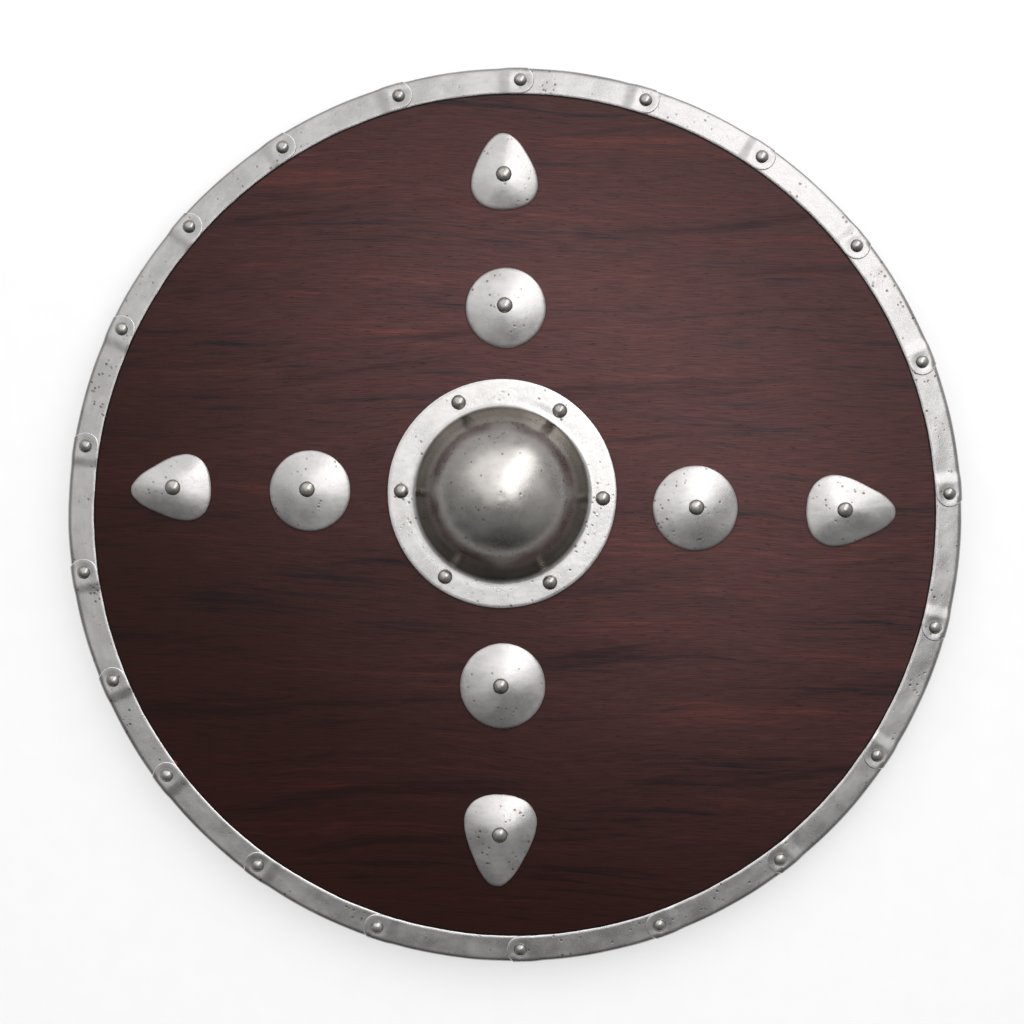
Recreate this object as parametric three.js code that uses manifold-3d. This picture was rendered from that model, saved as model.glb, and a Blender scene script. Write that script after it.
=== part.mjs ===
// A wooden round shield with a steel boss, a riveted steel rim and a wooden grip.
// Millimetres, +Z up. The shield lies on its back, so the boss points up. The origin is the
// middle of the round board, on the surface that the grip's flat underside rests on.
import * as THREE from "three";
import { mergeVertices } from "three/addons/utils/BufferGeometryUtils.js";
import Module from "manifold-3d";

const wasm = await Module();
wasm.setup();

// ---------------------------------------------------------------- driving dimensions
const GAP = 0.3; // between any two pieces that touch

const board = { radius: 302.6, thickness: 10, sides: 60, handHoleRadius: 54, handHoleSides: 24 };

const grip = {
  thickness: 15, // of the two flat arms behind the board
  armHalfWidth: 21,
  handHalfWidth: 15, // waisted where the hand closes on it
  handReach: 40, // half the length of the handhold
  flareReach: 51, // where the arms are flat again, still inside the hand hole
  handRise: 6, // the handhold swells into the hand hole
  handRelief: 1.5, // and clears the ground
  endMargin: 20, // wood beyond the outermost rivets
  turn: -1.92, // degrees, the line of rivets that holds it
};

const rim = {
  outerRadius: 304.7, // of a strip's plain stretch
  innerRadius: 286.9, // edge of the front flange
  lipRadius: 300.6, // edge of the short lip folded behind the board
  rivetRadius: 296.4, // circle the rim rivets stand on
  sheet: 1.2,
  fold: 1.4, // chamfer that stands for the rounded fold
  firstRivet: 89.3, // degrees
  // Degrees covered by each strip, clockwise from the first rivet.
  spans: [16.8, 17.1, 17.2, 17.6, 17.8, 17.8, 18.6, 18.8, 18.2, 18.7, 19.2,
    17.8, 16.9, 14.4, 14.8, 16.7, 16.2, 16.2, 16.2, 16.8, 16.2],
  tuckedEnd: 7.5, // how far a strip's start reaches back under its neighbour, from the rivet
  rampLength: 4.5, // where the upper strip climbs over the tucked one
  tabRadius: 9.3, // rounded end of the upper strip, about the rivet
  tabReach: 11, // length modelled beyond the rivet before the end is rounded
  longestStep: 6.3, // degrees between two sections of a strip
};

const boss = {
  x: -8.8,
  y: 14.5, // the boss sits a little off the middle of the board
  flangeRadius: 78.1,
  sheet: 1.6,
  neckRadius: 58, // where the flange turns up
  filletRise: 5.4,
  shoulderRadius: 49.7, // where the leaning neck runs into the dome
  domeRadius: 56.6,
  height: 48.5, // from the board to the crown
  rivetCircle: 68.75,
  rivetAngles: [-2.8, 55.1, 115.5, 178.6, 235.6, 298.3],
  sides: 32,
  domeSteps: 5,
};

// One arm of the cross of plates. Distances and angles are counted from the middle of the
// boss. A disc's centre lies a little off its rivet: along the arm, then to the left of it.
// A pear plate is described about its rivet, with its tip pointing away from the boss.
const arms = [
  {
    name: "top", heading: 90,
    disc: { at: 128.1, angle: 89.2, radius: 27.3, along: -1.5, left: -0.75 },
    pear: {
      at: 217.4, angle: 89.7, turn: 2.3, tip: 28.3, base: 24.0, tipRadius: 10.2,
      cornerRadius: 16.5, cornerBack: 6.8, cornerOut: 6.5, flankRadius: 60, left: -0.3,
    },
  },
  {
    name: "left", heading: 180,
    disc: { at: 132.8, angle: 178.8, radius: 27.6, along: -1.85, left: 0.93 },
    pear: {
      at: 224.1, angle: 178.95, turn: 3.4, tip: 28.9, base: 25.7, tipRadius: 8.7,
      cornerRadius: 15.5, cornerBack: 9.0, cornerOut: 7.4, flankRadius: 74, left: 0.5,
    },
  },
  {
    name: "right", heading: 0,
    disc: { at: 132.6, angle: -4.1, radius: 29.0, along: -0.64, left: -0.44 },
    pear: {
      at: 233.7, angle: -2.76, turn: -1.7, tip: 34.9, base: 26.2, tipRadius: 9.6,
      cornerRadius: 18.0, cornerBack: 7.1, cornerOut: 6.5, flankRadius: 96, left: -0.7,
    },
  },
  {
    name: "bottom", heading: -90,
    disc: { at: 131.2, angle: -90.4, radius: 29.1, along: 0, left: 1.34 },
    pear: {
      at: 232.4, angle: -90.4, turn: -3.4, tip: 35.6, base: 27.4, tipRadius: 9.0,
      cornerRadius: 17.7, cornerBack: 8.5, cornerOut: 7.2, flankRadius: 87, left: 0,
    },
  },
];

const plate = {
  sheet: 1.2,
  rise: 4.4, // how far the middle is dished up above the edge
  shoulder: 0.55, // share of the outline where the dish bends
  shoulderRise: 0.62, // share of the rise reached there
  headSunk: 1, // the rivet's head is set into the middle of the dish
  discSides: 18,
};

const rivets = {
  sides: 8,
  shankWidth: 4.4, // square shank
  rim: { headRadius: 4.45, headHeight: 3.0 },
  boss: { headRadius: 5.1, headHeight: 3.4 },
  plate: { headRadius: 5.4, headHeight: 3.6 },
  roveWidth: 8, // square washer under the clenched end, behind the board
  roveThickness: 1,
  clenchedEnd: 0.6,
};

// ---------------------------------------------------------------- levels
const boardBack = grip.thickness + GAP;
const boardFront = boardBack + board.thickness;
const onBoard = boardFront + GAP; // underside of everything riveted to the front
const rimFront = onBoard + rim.sheet; // top of a strip's plain front flange
const rimBack = boardBack - GAP - rim.sheet; // underside of its back lip
const lapRise = rim.sheet + GAP + 0.05; // how far the upper strip stands off at a lap
const holeWidth = rivets.shankWidth + 2 * GAP;

// ---------------------------------------------------------------- materials
const paint = (color, roughness, metalness) =>
  new THREE.MeshStandardMaterial({ color, roughness, metalness });
const materials = {
  wood: paint(0x3c1c18, 0.5, 0),
  gripWood: paint(0x6b4a2e, 0.6, 0),
  rimSteel: paint(0xb4b2ae, 0.4, 1),
  bossSteel: paint(0xa8a6a2, 0.3, 1),
  plateSteel: paint(0xb0aeaa, 0.38, 1),
  rivetSteel: paint(0x8a8782, 0.35, 1),
};

// ---------------------------------------------------------------- geometry helpers
const radians = THREE.MathUtils.degToRad;
const polar = (radius, degrees) =>
  new THREE.Vector2(radius * Math.cos(radians(degrees)), radius * Math.sin(radians(degrees)));
const mix = (a, b, share) => a + (b - a) * share;

/** Turns a closed three.js geometry into a solid that can be joined and cut. */
function toSolid(geometry) {
  const shape = geometry.clone();
  shape.deleteAttribute("normal");
  shape.deleteAttribute("uv");
  const merged = mergeVertices(shape, 1e-4);
  const corners = merged.index.array;
  const kept = [];
  for (let i = 0; i < corners.length; i += 3) {
    const [a, b, c] = [corners[i], corners[i + 1], corners[i + 2]];
    if (a !== b && b !== c && c !== a) kept.push(a, b, c);
  }
  return new wasm.Manifold(new wasm.Mesh({
    numProp: 3,
    vertProperties: new Float32Array(merged.attributes.position.array),
    triVerts: new Uint32Array(kept),
  }));
}

/** Turns a solid back into a geometry. */
function toGeometry(solid) {
  const mesh = solid.getMesh();
  const geometry = new THREE.BufferGeometry();
  geometry.setAttribute("position", new THREE.BufferAttribute(mesh.vertProperties, 3));
  geometry.setIndex(new THREE.BufferAttribute(mesh.triVerts, 1));
  geometry.computeVertexNormals();
  return geometry;
}

/** A prism from an outline of Vector2 points, from one level up to another. */
function prism(outline, low, high, holes = []) {
  const shape = new THREE.Shape(outline);
  shape.holes = holes.map((points) => new THREE.Path(points));
  const geometry = new THREE.ExtrudeGeometry(shape, { depth: high - low, bevelEnabled: false });
  return geometry.translate(0, 0, low);
}

/** A round solid about Z from [radius, height] pairs that start and end on the axis. */
function turned(profile, sides) {
  const points = profile.map(([radius, height]) => new THREE.Vector2(radius, height));
  return new THREE.LatheGeometry(points, sides).rotateX(Math.PI / 2);
}

/** The corners of a square hole or shank, turned to face a direction. */
function square(centre, width, degrees) {
  return [45, 135, 225, 315].map((corner) =>
    polar(width * Math.SQRT1_2, corner + degrees).add(centre));
}

const circle = (radius, sides) =>
  Array.from({ length: sides }, (_, i) => polar(radius, (360 * i) / sides));

/**
 * Skins a row of closed rings of equal length. A ring of one point closes to a tip, and a cap
 * outline, counter-clockwise seen from the last ring, closes both ends.
 */
function skin(rings, capOutline = null) {
  const points = rings.flat();
  const starts = [];
  rings.reduce((start, ring) => (starts.push(start), start + ring.length), 0);
  const faces = [];
  for (let k = 0; k + 1 < rings.length; k += 1) {
    const [a, b] = [rings[k], rings[k + 1]];
    const count = Math.max(a.length, b.length);
    for (let i = 0; i < count; i += 1) {
      const j = (i + 1) % count;
      if (a.length > 1) faces.push(starts[k] + i, starts[k] + j, starts[k + 1] + (i % b.length));
      if (b.length > 1) faces.push(starts[k + 1] + j, starts[k + 1] + i, starts[k] + (j % a.length));
    }
  }
  if (capOutline) {
    const last = starts[rings.length - 1];
    for (const [a, b, c] of THREE.ShapeUtils.triangulateShape(capOutline, [])) {
      faces.push(c, b, a, last + a, last + b, last + c);
    }
  }
  const geometry = new THREE.BufferGeometry().setFromPoints(points);
  geometry.setIndex(faces);
  return geometry;
}

const shield = new THREE.Group();
shield.name = "round_shield";

function addPiece(group, name, geometry, material) {
  const mesh = new THREE.Mesh(geometry, material);
  mesh.name = name;
  group.add(mesh);
  return mesh;
}

// ---------------------------------------------------------------- where the rivets stand
const bossCentre = new THREE.Vector2(boss.x, boss.y);
const rimAngles = rim.spans.reduce((angles, span) => [...angles, angles.at(-1) - span],
  [rim.firstRivet]).slice(0, -1);
const rimRivets = rimAngles.map((angle) => ({ centre: polar(rim.rivetRadius, angle), angle }));
const bossRivets = boss.rivetAngles.map((angle) =>
  ({ centre: polar(boss.rivetCircle, angle).add(bossCentre), angle }));
const plateRivets = arms.flatMap(({ disc, pear }) => [disc, pear]).map(({ at, angle }) =>
  ({ centre: polar(at, angle).add(bossCentre), angle }));

/** A rivet holds the grip too where it stands on the grip's line. */
const gripSide = radians(90 + grip.turn);
const offGripLine = (centre) => {
  const arm = centre.clone().sub(bossCentre);
  return Math.abs(arm.x * Math.cos(gripSide) + arm.y * Math.sin(gripSide));
};
const holdsGrip = (centre) => offGripLine(centre) < grip.handHalfWidth;

// ---------------------------------------------------------------- board
function boardGeometry() {
  const handHole = circle(board.handHoleRadius, board.handHoleSides)
    .map((point) => point.add(bossCentre));
  const rivetHoles = [...rimRivets, ...bossRivets, ...plateRivets]
    .map(({ centre, angle }) => square(centre, holeWidth, angle));
  return prism(circle(board.radius, board.sides), boardBack, boardFront,
    [handHole, ...rivetHoles]);
}
addPiece(shield, "board", boardGeometry(), materials.wood);

// ---------------------------------------------------------------- grip
/** One section across the grip: eight corners, chamfered. */
function gripSection(x, halfWidth, low, high, chamfer) {
  const corners = [];
  for (const [side, level] of [[1, 0], [1, 1], [-1, 1], [-1, 0]]) {
    const wide = [side * halfWidth, level ? high - chamfer : low + chamfer];
    const narrow = [side * (halfWidth - chamfer), level ? high : low];
    corners.push(...((side > 0) === (level > 0) ? [wide, narrow] : [narrow, wide]));
  }
  return corners.map(([y, z]) => new THREE.Vector3(x, y, z));
}

function gripGeometry() {
  const held = [...bossRivets, ...plateRivets].filter(({ centre }) => holdsGrip(centre))
    .map(({ centre, angle }) => ({
      centre: centre.clone().sub(bossCentre)
        .rotateAround(new THREE.Vector2(), -radians(grip.turn)),
      angle: angle - grip.turn,
    }));
  const reach = held.map(({ centre }) => centre.x);
  const [left, right] = [Math.min(...reach) - grip.endMargin, Math.max(...reach) + grip.endMargin];
  const { thickness, armHalfWidth: wide, handHalfWidth: narrow } = grip;
  const arm = (x) => gripSection(x, wide, 0, thickness, 2.5);
  const tip = (x) => gripSection(x, wide * 0.62, 0.8, thickness - 0.8, 3);
  const shoulder = (x) => gripSection(x, wide * 0.92, 0, thickness, 2.5);
  const hand = (x, share) => gripSection(x, mix(wide, narrow, share), grip.handRelief * share,
    thickness + grip.handRise * share, mix(2.5, 7, share));
  const sections = [
    tip(left), shoulder(left + 5), arm(left + 15),
    arm(-grip.flareReach - 12), hand(-grip.flareReach, 0.35), hand(-grip.handReach, 0.9),
    hand(-grip.handReach * 0.6, 1), hand(grip.handReach * 0.6, 1),
    hand(grip.handReach, 0.9), hand(grip.flareReach, 0.35), arm(grip.flareReach + 12),
    arm(right - 15), shoulder(right - 5), tip(right),
  ];
  // The sections that lie under the board keep to the arms' thickness.
  for (const section of [sections[4], sections[9]]) {
    for (const corner of section) corner.z = Math.min(corner.z, thickness);
  }
  const capOutline = sections[0].map(({ y, z }) => new THREE.Vector2(y, z));
  const holes = held.map(({ centre, angle }) =>
    toSolid(prism(square(centre, holeWidth, angle), -5, thickness + 5)));
  return toGeometry(wasm.Manifold.difference([toSolid(skin(sections, capOutline)), ...holes]));
}
const gripMesh = addPiece(shield, "grip", gripGeometry(), materials.gripWood);
gripMesh.position.set(boss.x, boss.y, 0);
gripMesh.rotation.z = radians(grip.turn);

// ---------------------------------------------------------------- rivets
/** A domed head on a square shank; the head's underside is at z = 0. */
function rivetSolid({ headRadius, headHeight }, shankLength, withRove) {
  const head = turned([
    [0, 0], [headRadius, 0], [headRadius * 0.78, headHeight * 0.68], [0, headHeight],
  ], rivets.sides);
  const origin = new THREE.Vector2();
  const parts = [head, prism(square(origin, rivets.shankWidth, 0), -shankLength, headHeight / 3)];
  if (withRove) {
    const low = -shankLength + rivets.clenchedEnd;
    parts.push(prism(square(origin, rivets.roveWidth, 0), low, low + rivets.roveThickness));
  }
  return wasm.Manifold.union(parts.map(toSolid));
}

/** How deep a rivet reaches whose head sits at a level, and whether it ends in a rove. */
function rivetReach(centre, level) {
  if (holdsGrip(centre)) return { length: level - 0.4, withRove: false };
  const tail = boardBack - GAP - rivets.roveThickness - rivets.clenchedEnd;
  return { length: level - tail, withRove: true };
}

// ---------------------------------------------------------------- boss
/** The shell's profile: the inner skin outwards, the flange, and the outer skin back. */
function bossProfile() {
  const { sheet, flangeRadius, neckRadius, filletRise, shoulderRadius, domeRadius, height } = boss;
  const domeCentre = height - domeRadius;
  const lean = Math.asin(shoulderRadius / domeRadius); // angle of the dome's edge from the axis
  const shoulder = domeCentre + domeRadius * Math.cos(lean);
  const neckFoot = shoulderRadius + (shoulder - filletRise) / Math.tan(lean);
  const dome = (radius) => Array.from({ length: boss.domeSteps + 1 }, (_, i) => {
    const angle = (lean * i) / boss.domeSteps;
    return [radius * Math.sin(angle), domeCentre + radius * Math.cos(angle)];
  });
  const inner = [...dome(domeRadius - sheet), [neckFoot - sheet, filletRise - sheet / 2],
    [neckRadius - 0.4, 0]];
  const outer = [[flangeRadius, 0], [flangeRadius, sheet], [neckRadius + 2.2, sheet],
    [neckRadius, sheet * 2], [neckFoot, filletRise], ...dome(domeRadius).reverse()];
  return [...inner, ...outer];
}

const bossGroup = new THREE.Group();
bossGroup.position.set(boss.x, boss.y, onBoard);
shield.add(bossGroup);

const bossHoles = boss.rivetAngles.map((angle) =>
  toSolid(prism(square(polar(boss.rivetCircle, angle), holeWidth, angle), -5, 10)));
addPiece(bossGroup, "boss", toGeometry(wasm.Manifold.difference(
  [toSolid(turned(bossProfile(), boss.sides)), ...bossHoles])), materials.bossSteel);

const bossRivetSeat = boss.sheet + GAP; // above the boss group's own level
boss.rivetAngles.forEach((angle, i) => {
  const { length, withRove } = rivetReach(bossRivets[i].centre, onBoard + bossRivetSeat);
  const mesh = addPiece(bossGroup, `boss_rivet_${i + 1}`,
    toGeometry(rivetSolid(rivets.boss, length, withRove)), materials.rivetSteel);
  const { x, y } = polar(boss.rivetCircle, angle);
  mesh.position.set(x, y, bossRivetSeat);
  mesh.rotation.z = radians(angle);
});

// ---------------------------------------------------------------- rim
/** A folded strip's section at a given stand-off: it covers the edge and hooks behind it. */
function rimSection(standOff) {
  const { innerRadius, lipRadius, sheet, fold } = rim;
  const [outer, top, bottom] = [rim.outerRadius + standOff, rimFront + standOff, rimBack - standOff];
  return [
    [innerRadius, top - sheet], [outer - sheet, top - sheet],
    [outer - sheet, bottom + sheet], [lipRadius, bottom + sheet],
    [lipRadius, bottom], [outer - fold, bottom], [outer, bottom + fold],
    [outer, top - fold], [outer - fold, top], [innerRadius, top],
  ].map(([radius, level]) => new THREE.Vector2(radius, level));
}

/** One strip, starting at its first rivet (angle 0) and running clockwise over `span`. */
function stripGeometry(span) {
  const degrees = (length) => THREE.MathUtils.radToDeg(length / rim.rivetRadius);
  const start = -degrees(rim.tuckedEnd);
  const lapStart = span - degrees(rim.tuckedEnd + 0.4);
  const rampStart = lapStart - degrees(rim.rampLength);
  const steps = Math.ceil((rampStart - start) / rim.longestStep);
  const stations = Array.from({ length: steps + 1 }, (_, i) =>
    [mix(start, rampStart, i / steps), 0]);
  stations.push([lapStart, lapRise], [span + degrees(rim.tabReach), lapRise]);
  const rings = stations.map(([angle, standOff]) => rimSection(standOff).map(({ x, y }) =>
    new THREE.Vector3(x * Math.cos(radians(angle)), -x * Math.sin(radians(angle)), y)));

  // The upper end is rounded about its rivet: all before the rivet stays, and half a disc after.
  const keep = new THREE.Shape([[-200, -80], [0, -80], [0, -rim.tabRadius]]
    .map(([x, y]) => new THREE.Vector2(x, y)));
  keep.absarc(0, 0, rim.tabRadius, -Math.PI / 2, Math.PI / 2, false);
  keep.lineTo(0, 80);
  keep.lineTo(-200, 80);
  const tab = new THREE.ExtrudeGeometry(keep, { depth: 60, bevelEnabled: false, curveSegments: 5 })
    .translate(0, 0, -10)
    .rotateZ(-Math.PI / 2 - radians(span))
    .translate(...polar(rim.rivetRadius, -span).toArray(), 0);

  const holes = [0, -span].map((angle) => toSolid(
    prism(square(polar(rim.rivetRadius, angle), holeWidth, angle), boardFront, 50)));
  const strip = toSolid(skin(rings, rimSection(0))).intersect(toSolid(tab));
  return toGeometry(wasm.Manifold.difference([strip, ...holes]));
}

const rimGroup = new THREE.Group();
shield.add(rimGroup);
const rimRivetSeat = rimFront + lapRise + GAP;
const rimRivetTail = boardBack - GAP - rivets.clenchedEnd; // proud of the board's back
rim.spans.forEach((span, i) => {
  const number = String(i + 1).padStart(2, "0");
  const strip = addPiece(rimGroup, `rim_strip_${number}`, stripGeometry(span), materials.rimSteel);
  strip.rotation.z = radians(rimAngles[i]);
  const rivet = addPiece(rimGroup, `rim_rivet_${number}`,
    toGeometry(rivetSolid(rivets.rim, rimRivetSeat - rimRivetTail, false)), materials.rivetSteel);
  rivet.position.set(rimRivets[i].centre.x, rimRivets[i].centre.y, rimRivetSeat);
  rivet.rotation.z = radians(rimRivets[i].angle);
});

// ---------------------------------------------------------------- plates
/** A pear outline of eight tangent arcs: tip, two flanks, two corners and the base. */
function pearOutline(pear) {
  const { tip, base, tipRadius, cornerRadius, cornerBack, cornerOut, flankRadius } = pear;
  const tipCentre = new THREE.Vector2(tip - tipRadius, 0);
  const corner = new THREE.Vector2(-cornerBack, cornerOut);
  // The base arc's centre lies on the axis, and the arc touches both corner arcs.
  const inset = base - cornerRadius;
  const baseX = (cornerBack ** 2 + cornerOut ** 2 - inset ** 2) / (2 * (inset - cornerBack));
  // The flank arc's centre lies beyond the axis, and the arc touches the tip and a corner.
  const [a, b] = [flankRadius - tipRadius, flankRadius - cornerRadius];
  const between = corner.clone().sub(tipCentre);
  const apart = between.length();
  const share = (a * a - b * b + apart * apart) / (2 * apart);
  const across = Math.sqrt(a * a - share * share);
  between.normalize();
  const flankCentre = tipCentre.clone().addScaledVector(between, share)
    .add(new THREE.Vector2(-between.y, between.x).multiplyScalar(across));

  const angleFrom = (from, to) => Math.atan2(to.y - from.y, to.x - from.x);
  const arcs = [
    { centre: tipCentre, radius: tipRadius, end: angleFrom(flankCentre, tipCentre), steps: 2 },
    { centre: flankCentre, radius: flankRadius, end: angleFrom(flankCentre, corner), steps: 2 },
    {
      centre: corner, radius: cornerRadius,
      end: angleFrom(new THREE.Vector2(baseX, 0), corner), steps: 4,
    },
    { centre: new THREE.Vector2(baseX, 0), radius: base + baseX, end: Math.PI, steps: 1 },
  ];
  const half = [new THREE.Vector2(tip, 0)];
  let angle = 0;
  for (const arc of arcs) {
    for (let i = 1; i <= arc.steps; i += 1) {
      const at = mix(angle, arc.end, i / arc.steps);
      half.push(new THREE.Vector2(Math.cos(at), Math.sin(at)).multiplyScalar(arc.radius)
        .add(arc.centre));
    }
    angle = arc.end;
  }
  const mirrored = half.slice(1, -1).reverse().map(({ x, y }) => new THREE.Vector2(x, -y));
  return [...half, ...mirrored];
}

/** A dished plate with its rivet, about the rivet, standing on z = 0. */
function rivetedPlate(outline, reach) {
  const ring = (share, level) => outline.map(({ x, y }) =>
    new THREE.Vector3(x * share, y * share, level));
  const point = (level) => [new THREE.Vector3(0, 0, level)];
  const { sheet, rise, shoulder, shoulderRise } = plate;
  const dish = skin([
    point(rise), ring(shoulder, rise * shoulderRise), ring(1, 0),
    ring(1, sheet), ring(shoulder, sheet + rise * shoulderRise), point(sheet + rise),
  ]);
  const seat = sheet + rise - plate.headSunk;
  const rivet = rivetSolid(rivets.plate, reach.length + seat, reach.withRove)
    .translate([0, 0, seat]);
  return toGeometry(toSolid(dish).add(rivet));
}

for (const { name, heading, disc, pear } of arms) {
  const armGroup = new THREE.Group();
  armGroup.position.set(boss.x, boss.y, onBoard);
  shield.add(armGroup);

  const discOutline = circle(disc.radius, plate.discSides)
    .map((point) => point.add(new THREE.Vector2(disc.along, disc.left)));
  const shapes = [
    { kind: "disc", spec: disc, turn: heading, outline: discOutline },
    {
      kind: "pear", spec: pear, turn: heading + pear.turn,
      outline: pearOutline(pear).map((point) => point.add(new THREE.Vector2(0, pear.left))),
    },
  ];
  for (const { kind, spec, turn, outline } of shapes) {
    const { x, y } = polar(spec.at, spec.angle);
    const centre = new THREE.Vector2(x, y).add(bossCentre);
    const mesh = addPiece(armGroup, `${kind}_plate_${name}`,
      rivetedPlate(outline, rivetReach(centre, onBoard)), materials.plateSteel);
    mesh.position.set(x, y, 0);
    mesh.rotation.z = radians(turn);
  }
}

export default shield;
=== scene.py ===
"""The looks of the wooden round shield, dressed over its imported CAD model.

Metres, +Z up. The shield lies on its back with the boss up, as in the frame. Every place comes
from the frame's nodes. The constants below hold only what the nodes don't say, such as the
roundness of folds and the unevenness of hand work.
"""

import math

import bmesh
import bpy
import numpy as np
from mathutils import Matrix, Vector, noise


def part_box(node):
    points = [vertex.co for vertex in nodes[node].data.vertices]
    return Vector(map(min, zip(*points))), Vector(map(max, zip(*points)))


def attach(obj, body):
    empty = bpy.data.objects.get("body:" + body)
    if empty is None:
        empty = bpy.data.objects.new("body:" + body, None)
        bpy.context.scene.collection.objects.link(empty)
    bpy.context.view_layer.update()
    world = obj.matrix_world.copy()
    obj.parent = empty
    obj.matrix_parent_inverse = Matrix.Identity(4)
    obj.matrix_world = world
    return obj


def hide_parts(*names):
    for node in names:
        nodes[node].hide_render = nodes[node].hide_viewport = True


MM = 0.001
FULL_TURN = 2 * math.pi

# ------------------------------------------------------------------ what the nodes don't say
SHEET = 1.2 * MM  # plates
RIM_SHEET = 0.8 * MM  # rim strips
BOSS_SHEET = 1.6 * MM
GAP = 0.3 * MM  # between two CAD pieces that touch
HAND_HOLE_RADIUS = 54 * MM
BOARD_CHAMFER = 1.0 * MM

RIM_RIVET_RADIUS = 296.4 * MM
RIM_INNER_RADIUS = 286.9 * MM
RIM_OUTER_RADIUS = 304.7 * MM
RIM_LIP_RADIUS = 300.6 * MM
LAP_RISE = 0.8 * MM  # how far the upper strip stands off at a lap
TUCKED_END = 7.5 * MM  # a strip's start, back under its neighbour
TAB_RADIUS = 9.3 * MM  # rounded end of a strip, about its last rivet
RIM_FOLD = 2.6 * MM  # radius of the rounded folds
WALL_CUT = 6.5 * MM  # length over which the folded side is cut off past the last rivet

PLATE_RISE = 4.4 * MM
PLATE_BEND = 1.62  # power of the dish's profile
BOSS_FLANGE_RADIUS = 78.1 * MM
BOSS_NECK_RADIUS = 58.0 * MM
BOSS_SHOULDER_RADIUS = 49.7 * MM
BOSS_DOME_RADIUS = 56.6 * MM
BOSS_HEIGHT = 48.5 * MM
BOSS_RIVET_RADIUS = 68.75 * MM

GRIP_TURN = math.radians(-1.92)


# ------------------------------------------------------------------ the frame
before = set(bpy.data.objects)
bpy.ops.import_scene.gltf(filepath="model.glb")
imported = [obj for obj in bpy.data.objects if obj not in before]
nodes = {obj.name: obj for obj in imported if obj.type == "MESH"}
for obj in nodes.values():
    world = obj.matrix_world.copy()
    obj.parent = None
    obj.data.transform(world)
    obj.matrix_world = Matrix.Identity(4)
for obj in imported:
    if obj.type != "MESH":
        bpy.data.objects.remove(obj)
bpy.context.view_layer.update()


def node_points(name):
    """A node's corners as an array."""
    return np.array([vertex.co for vertex in nodes[name].data.vertices], float)


def node_middle(name):
    low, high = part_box(name)
    middle = (low + high) / 2
    return np.array([middle.x, middle.y])


board_low, board_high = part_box("board")
BOARD_RADIUS = (board_high.x - board_low.x) / 2
BOARD_BACK = board_low.z
BOARD_FRONT = board_high.z
BOSS_CENTRE = node_middle("boss")
ON_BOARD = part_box("boss")[0].z  # underside of all that is riveted to the front
RIM_TOP = ON_BOARD + RIM_SHEET
RIM_BOTTOM = BOARD_BACK - GAP - RIM_SHEET


# ------------------------------------------------------------------ mesh helpers
def ease(share):
    """0 to 1 with level ends."""
    share = np.clip(share, 0.0, 1.0)
    return share * share * (3 - 2 * share)


def between(a, b, share):
    return a + (b - a) * share


def waver(seed, *place):
    """Smooth noise from about -1 to 1 at a place given in its own wavelengths."""
    x, y, z = (list(place) + [0.0, 0.0])[:3]
    return noise.noise(Vector((x + 17.3 * seed, y - 9.1 * seed, z + 4.7 * seed)))


def grid_faces(rows, columns, wrap=True, first=0):
    """Quads over a grid of rows of points; wrap joins each row's end to its start."""
    faces = []
    for row in range(rows - 1):
        for column in range(columns if wrap else columns - 1):
            a = first + row * columns + column
            b = first + row * columns + (column + 1) % columns
            faces.append((a, b, b + columns, a + columns))
    return faces


def add_mesh(name, points, faces, materials, face_slots=None, places=None):
    """A smooth-shaded object from points and faces, with a place attribute for its texture."""
    mesh = bpy.data.meshes.new(name)
    mesh.from_pydata([tuple(point) for point in points], [], faces)
    for material in materials:
        mesh.materials.append(material)
    if face_slots is not None:
        mesh.polygons.foreach_set("material_index", face_slots)
    if places is not None:
        attribute = mesh.attributes.new("place", "FLOAT_VECTOR", "POINT")
        attribute.data.foreach_set("vector", np.asarray(places, np.float32).ravel())
    working = bmesh.new()
    working.from_mesh(mesh)
    bmesh.ops.remove_doubles(working, verts=working.verts, dist=1e-6)
    bmesh.ops.recalc_face_normals(working, faces=working.faces)
    working.to_mesh(mesh)
    working.free()
    mesh.polygons.foreach_set("use_smooth", [True] * len(mesh.polygons))
    made = bpy.data.objects.new(name, mesh)
    bpy.context.scene.collection.objects.link(made)
    return made


def fit_piece(piece, slot, *replaced):
    """Ties a piece to the frame: the body it rides on and the nodes it stands for. The slot is not
    used.
    """
    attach(piece, "root")
    if replaced:
        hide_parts(*replaced)
    return piece


def lathe_points(profile, centre, sides):
    """Rings about a vertical axis from (radius, height) pairs."""
    rings = []
    for radius, height in profile:
        for side in range(sides):
            angle = FULL_TURN * side / sides
            rings.append((centre[0] + radius * math.cos(angle),
                          centre[1] + radius * math.sin(angle), height))
    return np.array(rings)


def smooth_loop(corners, count):
    """Evenly spaced points on a smooth closed curve through the corners."""
    corners = np.asarray(corners)
    total = len(corners)
    fine = []
    for i in range(total):
        p0, p1, p2, p3 = (corners[(i + k) % total] for k in (-1, 0, 1, 2))
        d1, d2, d3 = (np.linalg.norm(b - a) for a, b in ((p0, p1), (p1, p2), (p2, p3)))
        m1 = (p1 - p0) / d1 * d2 - (p2 - p0) / (d1 + d2) * d2 + (p2 - p1)
        m2 = (p2 - p1) - (p3 - p1) / (d2 + d3) * d2 + (p3 - p2) / d3 * d2
        for step in range(12):
            t = step / 12
            fine.append((2 * t**3 - 3 * t**2 + 1) * p1 + (t**3 - 2 * t**2 + t) * m1
                        + (3 * t**2 - 2 * t**3) * p2 + (t**3 - t**2) * m2)
    fine = np.array(fine + fine[:1])
    lengths = np.concatenate([[0], np.cumsum(np.linalg.norm(np.diff(fine, axis=0), axis=1))])
    wanted = np.linspace(0, lengths[-1], count, endpoint=False)
    return np.column_stack([np.interp(wanted, lengths, fine[:, axis]) for axis in (0, 1)])


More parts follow.
